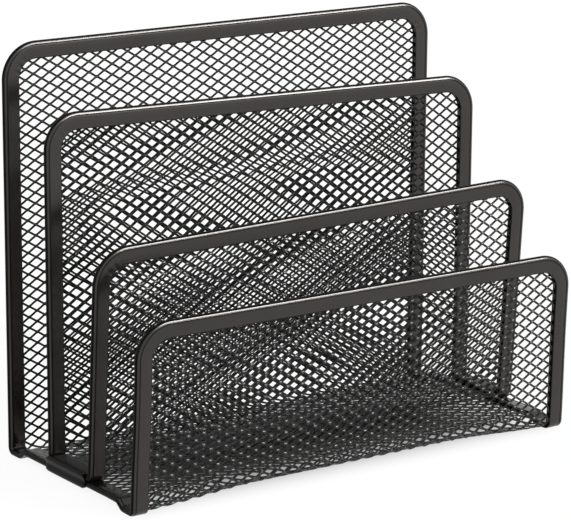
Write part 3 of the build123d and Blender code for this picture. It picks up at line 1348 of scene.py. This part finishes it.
@dataclass(frozen=True)
class FloorClip:
    """A steel sleeve crimped round both strips where they lie on each other.

    Attributes:
        rear: Its rear end in Y.
        front: Its front end in Y.
        flange_rear: Where the top flange starts, in front of the rear fold.
        flange_front: Where the top flange stops, behind the front fold.
        outer_floor: The height of the lower strip's middle.
        inner_floor: The height of the upper strip's middle.
        half_width: The distance from the middle of the holder to the strips.
        hem_radius: The radius of the strips' hems.
        steel: The thickness of the clip.
        clearance: The space between the clip and the strips.
        reach: How far the flanges reach over the strips.
        waist: How far the web is pressed in between the two hems.
        bend: The outer radius of the clip's bends.
        end_radius: The radius of the web's corners.
    """

    rear: float
    front: float
    flange_rear: float
    flange_front: float
    outer_floor: float
    inner_floor: float
    half_width: float
    hem_radius: float
    steel: float = 0.0006
    clearance: float = 0.0001
    reach: float = 0.0060
    waist: float = 0.00045
    bend: float = 0.0012
    end_radius: float = 0.0022

    def section(self) -> list[Pair]:
        """The middle line of the clip's section, from the top flange to the bottom one.

        Returns:
            Points as distance out from the middle of the holder, and height.
        """
        radius = self.bend - self.steel / 2
        top = self.inner_floor + self.hem_radius + self.clearance + self.steel / 2
        bottom = self.outer_floor - self.hem_radius - self.clearance - self.steel / 2
        web = self.half_width + self.clearance + self.steel / 2
        turn = np.linspace(0.0, math.pi / 2, CLIP_BEND_POINTS)
        line = [(self.half_width - self.reach * share, top) for share in FLANGE_SHARES]
        line += [
            (web - radius + radius * math.cos(a), top - radius + radius * math.sin(a)) for a in turn[::-1]
        ]
        line += self._web(web, top - radius, bottom + radius)
        line += [
            (web - radius + radius * math.cos(a), bottom + radius - radius * math.sin(a)) for a in turn
        ]
        return line + [(self.half_width - self.reach * share, bottom) for share in FLANGE_SHARES[::-1]]

    def _web(self, web: float, top: float, bottom: float) -> list[Pair]:
        """The web between its bends, drawn in at the waist between the two hems.

        Args:
            web: The web's distance out from the middle of the holder.
            top: The height of its upper end.
            bottom: The height of its lower end.

        Returns:
            Its points, without the two ends.
        """
        shares = np.linspace(0.0, 1.0, WEB_POINTS + 2)[1:-1]
        return [
            (web - self.waist * math.sin(math.pi * share) ** 2, top + (bottom - top) * share)
            for share in shares
        ]

    def dress(self, side: Side, node: str, paint: bpy.types.Material) -> None:
        """Builds one clip.

        Args:
            side: The end of the holder.
            node: The frame's node that the piece stands for.
            paint: The paint.
        """
        line = np.array(self.section())
        heading = np.gradient(line, axis=0)
        heading /= np.hypot(*heading.T)[:, None]
        outwards = np.stack([-heading[:, 1], heading[:, 0]], 1)
        low, high = line[:, 1].min(), line[:, 1].max()
        working = bmesh.new()
        rows: list[list[bmesh.types.BMVert]] = []
        for layer in (0.5, -0.5):
            for share in np.linspace(0.0, 1.0, CLIP_STATIONS):
                row = []
                for (out, height), normal in zip(line, outwards):
                    rear, front = self._ends(out, height, low, high)
                    pinch = END_PINCH * (2 * abs(share - 0.5)) ** PINCH_POWER
                    offset = normal * (self.steel * layer) - normal * pinch
                    y = rear + (front - rear) * share
                    row.append(working.verts.new((side.value * (out + offset[0]), y, height + offset[1])))
                rows.append(row)
        self._skin(working, rows)
        bmesh.ops.recalc_face_normals(working, faces=working.faces)
        piece = mesh_object(f"{node}_sleeve", working)
        piece.data.materials.append(paint)
        bevel = piece.modifiers.new("rounded_edges", "BEVEL")
        bevel.width = EDGE_BEVEL
        bevel.segments = 2
        bevel.limit_method = "ANGLE"
        bevel.angle_limit = EDGE_ANGLE
        keep_modified_mesh(piece)
        piece.data.shade_smooth()
        small = {v for p in piece.data.polygons if p.area < NARROW_FACE for v in p.vertices}
        put_mark(piece.data, Mark.LIP, [float(v.index in small) for v in piece.data.vertices])
        finish_piece(piece, node)

    def _ends(self, out: float, height: float, low: float, high: float) -> Pair:
        """The clip's rear and front end in Y at one point of its section.

        Args:
            out: The point's distance out from the middle of the holder.
            height: Its height.
            low: The height of the section's lowest point.
            high: The height of its highest point.

        Returns:
            The two ends.
        """
        from_edge = min(height - low, high - height)
        inset = 0.0
        if from_edge < self.end_radius:
            inset = self.end_radius - math.sqrt(self.end_radius**2 - (self.end_radius - from_edge) ** 2)
        rear, front = self.rear - inset, self.front + inset
        on_top = (height - (low + high) / 2) / ((high - low) / 2)
        inner = min(max((self.half_width + self.clearance - out) / self.steel, 0.0), 1.0)
        share = inner * inner * (3 - 2 * inner) if on_top > FLANGE_LEVEL else 0.0
        return rear + (self.flange_rear - rear) * share, front + (self.flange_front - front) * share

    @staticmethod
    def _skin(working: bmesh.types.BMesh, rows: list[list[bmesh.types.BMVert]]) -> None:
        """Joins the two layers of points to one closed shell.

        Args:
            working: The working mesh.
            rows: A row of points for each station, the outer layer's first.
        """
        outer, inner = rows[:CLIP_STATIONS], rows[CLIP_STATIONS:]
        last = len(outer[0]) - 1
        for layer in (outer, inner):
            for a, b in zip(layer, layer[1:]):
                for j in range(last):
                    working.faces.new((a[j], a[j + 1], b[j + 1], b[j]))
        for k in (0, CLIP_STATIONS - 1):
            for j in range(last):
                working.faces.new((outer[k][j], outer[k][j + 1], inner[k][j + 1], inner[k][j]))
        for j in (0, last):
            for k in range(CLIP_STATIONS - 1):
                working.faces.new((outer[k][j], outer[k + 1][j], inner[k + 1][j], inner[k][j]))


@dataclass(frozen=True)
class PhotoCamera:
    """The camera at the photograph's viewing angle.

    Attributes:
        place: Where it stands.
        heading: How far it looks to the right of +Y.
        tilt: How far it looks down.
        roll: How far its right side is raised.
        focal_share: The focal length as a share of the picture's width.
    """

    place: Place = (-0.5270, -0.7709, 0.2900)
    heading: float = math.radians(34.239)
    tilt: float = math.radians(13.571)
    roll: float = math.radians(-0.087)
    focal_share: float = 4.951

    def stand(self) -> None:
        """Adds the camera and makes it the scene's."""
        data = bpy.data.cameras.new("photo_camera")
        data.sensor_fit = "HORIZONTAL"
        data.lens = self.focal_share * data.sensor_width
        ahead = Vector((
            math.sin(self.heading) * math.cos(self.tilt),
            math.cos(self.heading) * math.cos(self.tilt),
            -math.sin(self.tilt),
        ))
        right = Vector((math.cos(self.heading), -math.sin(self.heading), 0.0))
        up = right.cross(ahead)
        right, up = (
            right * math.cos(self.roll) + up * math.sin(self.roll),
            up * math.cos(self.roll) - right * math.sin(self.roll),
        )
        turn = Matrix((right, up, -ahead)).transposed().to_4x4()
        made = place_in_scene("photo_camera", data)
        made.matrix_world = Matrix.Translation(self.place) @ turn
        bpy.context.scene.camera = made


@dataclass(frozen=True)
class Softbox:
    """One soft area light.

    Attributes:
        name: The light's name.
        place: Where it stands.
        target: What it points at.
        size: Its width and height.
        radiance: How bright its face is, where 1 is white.
    """

    name: str
    place: Place
    target: Place
    size: Pair
    radiance: float

    def hang(self) -> None:
        """Adds the light to the scene."""
        data = bpy.data.lights.new(self.name, "AREA")
        data.shape = "RECTANGLE"
        data.size, data.size_y = self.size
        data.energy = self.radiance * math.pi * self.size[0] * self.size[1]
        aim = Vector(self.target) - Vector(self.place)
        turn = aim.to_track_quat("-Z", "Y").to_matrix().to_4x4()
        place_in_scene(self.name, data).matrix_world = Matrix.Translation(self.place) @ turn


@dataclass(frozen=True)
class Studio:
    """The floor, the soft lights and the pale surround.

    Attributes:
        floor_size: The length of the floor's sides.
        surround: How bright the surround is for rays that light the object.
        boxes: The soft lights.
    """

    floor_size: float = 6.0
    surround: float = 0.15
    boxes: tuple[Softbox, ...] = (
        Softbox("front_softbox", (1.62, -2.80, 1.11), (0.0, 0.0, 0.06), (1.70, 0.60), 33.0),
        Softbox("left_softbox", (-2.10, -1.45, 0.75), (0.0, 0.0, 0.05), (1.45, 1.15), 4.0),
    )

    def build(self) -> None:
        """Adds the floor, the lights and the world."""
        working = bmesh.new()
        bmesh.ops.create_grid(working, x_segments=1, y_segments=1, size=self.floor_size / 2)
        floor = mesh_object("floor", working)
        floor.data.materials.append(FloorFinish().material())
        for box in self.boxes:
            box.hang()
        self._world()

    def _world(self) -> None:
        """Makes a surround that is white where it is seen or mirrored."""
        world = bpy.data.worlds.new("pale_surround")
        world.use_nodes = True
        maker = TreeMaker(world.node_tree)
        background = world.node_tree.nodes["Background"]
        background.inputs["Color"].default_value = (1.0, 1.0, 1.0, 1.0)
        strength = seen_or_mirrored(maker) * (1.0 - self.surround) + self.surround
        maker.feed(background.inputs["Strength"], strength)
        bpy.context.scene.world = world


STRIP_PAINT = PaintFinish(
    name="satin_black_strip",
    dark=(0.0040, 0.0036, 0.0032),
    light=(0.0095, 0.0086, 0.0078),
    roughness=0.21,
    roughness_spread=0.05,
    grain=1500.0,
    grain_depth=0.000010,
    ior=1.55,
    tint=(1.0, 0.945, 0.905),
)
CLIP_PAINT = PaintFinish(
    name="satin_black_clip",
    dark=(0.0030, 0.0028, 0.0026),
    light=(0.0065, 0.0060, 0.0056),
    roughness=0.30,
    roughness_spread=0.06,
    grain=1500.0,
    grain_depth=0.000010,
    ior=1.15,
    rubbed=(0.220, 0.210, 0.195),
)
MESH_PAINT = PaintFinish(
    name="black_mesh_coat",
    dark=(0.003, 0.003, 0.003),
    light=(0.007, 0.007, 0.0068),
    roughness=0.18,
    roughness_spread=0.03,
    grain=2200.0,
    grain_depth=0.000006,
    ior=1.60,
)
OUTER_WEAVE = DiamondMesh(
    diamond_length=0.00607,
    diamond_height=0.003645,
    growth=0.34,
    row_slope=0.016,
    turn=2.3,
    turn_back=1.4,
    narrowing=0.0445,
    gap_x=-0.00592,
    gap_s=0.0137,
)
INNER_WEAVE = DiamondMesh(
    diamond_length=0.00595,
    diamond_height=0.003945,
    growth=-0.03,
    row_slope=0.010,
    turn=2.0,
    turn_back=0.0,
    narrowing=0.0,
    gap_x=0.0759,
    gap_s=0.0177,
)


@dataclass
class LetterHolder:
    """The whole holder: its driving sizes, and the sheets, strips and clips.

    Attributes:
        width: The length of the panels along X.
        corner_radius: The radius of the panels' corners.
        spaces: The spaces between the panels at table level, from the rear.
        heights: The panels' heights, from the rear.
        leans: How far the panels lean to the front, in degrees.
        inner_skew: How far the inner sheet is folded out of square.
        outer_flare: How much further out the front panel's foot is at each end.
        foot_drop: How far the feet dip below the outer floor.
        foot_length: The length of each foot's flat.
        foot_rise_length: The length of the rise from a foot to the floor.
        foot_rise_radius: The radius at both ends of that rise.
        mesh_raise: How much higher the outer mesh runs between the feet.
        outer_fold_radius: The radius of the outer sheet's folds.
        inner_fold_radius: The radius of the inner sheet's folds.
        stack_clearance: The space between the two floor runs.
        fold_margin: Twice the space between a fold and the clip's top flange.
        clip_rear_reach: How far a clip starts behind the inner rear panel.
        clip_front_setback: How far it stops short of the inner front panel.
        strip: The strip that binds both sheets.
    """

    width: float = 0.175
    corner_radius: float = 0.0125
    spaces: tuple[float, ...] = (0.0275, 0.0253, 0.0280)
    heights: tuple[float, ...] = (0.1415, 0.1203, 0.0847, 0.0641)
    leans: tuple[float, ...] = (0.8, 0.7, 4.5, 3.3)
    inner_skew: float = 0.0038
    outer_flare: float = 0.0006
    foot_drop: float = 0.0020
    foot_length: float = 0.0066
    foot_rise_length: float = 0.0032
    foot_rise_radius: float = 0.0030
    mesh_raise: float = 0.0021
    outer_fold_radius: float = 0.0018
    inner_fold_radius: float = 0.0015
    stack_clearance: float = 0.00005
    fold_margin: float = 0.0010
    clip_rear_reach: float = 0.0015
    clip_front_setback: float = 0.0017
    strip: BindingStrip = BindingStrip()

    def __post_init__(self) -> None:
        """Works out the four panels and the two folded sheets."""
        hem = self.strip.hem_radius
        behind = hem - (hem + self.outer_fold_radius) * math.tan(math.radians(self.leans[0]))
        rear_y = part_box("outer_binding")[1].y - behind
        rear, inner_rear, inner_front, front = (
            Panel(float(y), math.radians(lean), height)
            for y, lean, height in zip(rear_y - np.cumsum((0.0, *self.spaces)), self.leans, self.heights)
        )
        feet = Feet(hem, self.foot_length, self.foot_rise_length, self.foot_rise_radius, self.mesh_raise)
        self.outer_floor = hem + self.foot_drop
        self.inner_floor = self.outer_floor + 2 * hem + self.stack_clearance
        shared = {"width": self.width, "corner_radius": self.corner_radius}
        self.outer = FoldedSheet(
            rear, front, self.outer_floor, self.outer_fold_radius,
            feet=feet, flare=self.outer_flare, **shared,
        )
        self.inner = FoldedSheet(
            inner_rear, inner_front, self.inner_floor, self.inner_fold_radius,
            skew=self.inner_skew, **shared,
        )

    def clip(self) -> FloorClip:
        """The clips' sizes, which follow the strips that they hold.

        Returns:
            The clip.
        """
        rear, front = self.inner.rear.at(self.inner_floor)[0], self.inner.front.at(self.inner_floor)[0]
        past_fold = self.inner_fold_radius + self.fold_margin / 2
        return FloorClip(
            rear=rear + self.clip_rear_reach,
            front=front + self.clip_front_setback,
            flange_rear=rear - past_fold,
            flange_front=front + past_fold,
            outer_floor=self.outer_floor,
            inner_floor=self.inner_floor,
            half_width=self.width / 2,
            hem_radius=self.strip.hem_radius,
        )

    def build(self) -> None:
        """Builds and dresses every piece, sheet by sheet, and then the clips."""
        mesh_paint, strip_paint, clip_paint = (
            finish.material() for finish in (MESH_PAINT, STRIP_PAINT, CLIP_PAINT)
        )
        sheets = (("outer", self.outer, OUTER_WEAVE, 11.0), ("inner", self.inner, INNER_WEAVE, 18.0))
        for name, sheet, weave, seed in sheets:
            weave.dress(sheet, f"{name}_mesh", mesh_paint)
            self.strip.dress(sheet, f"{name}_binding", strip_paint, seed)
        for side in Side:
            self.clip().dress(side, f"{side.name.lower()}_clip", clip_paint)


def main() -> None:
    """Builds the camera, the studio and the holder."""
    logging.basicConfig(level=logging.INFO, format="%(name)s: %(message)s")
    bpy.context.scene.view_settings.view_transform = "Standard"
    PhotoCamera().stand()
    Studio().build()
    LetterHolder().build()


if __name__ == "__main__":
    main()
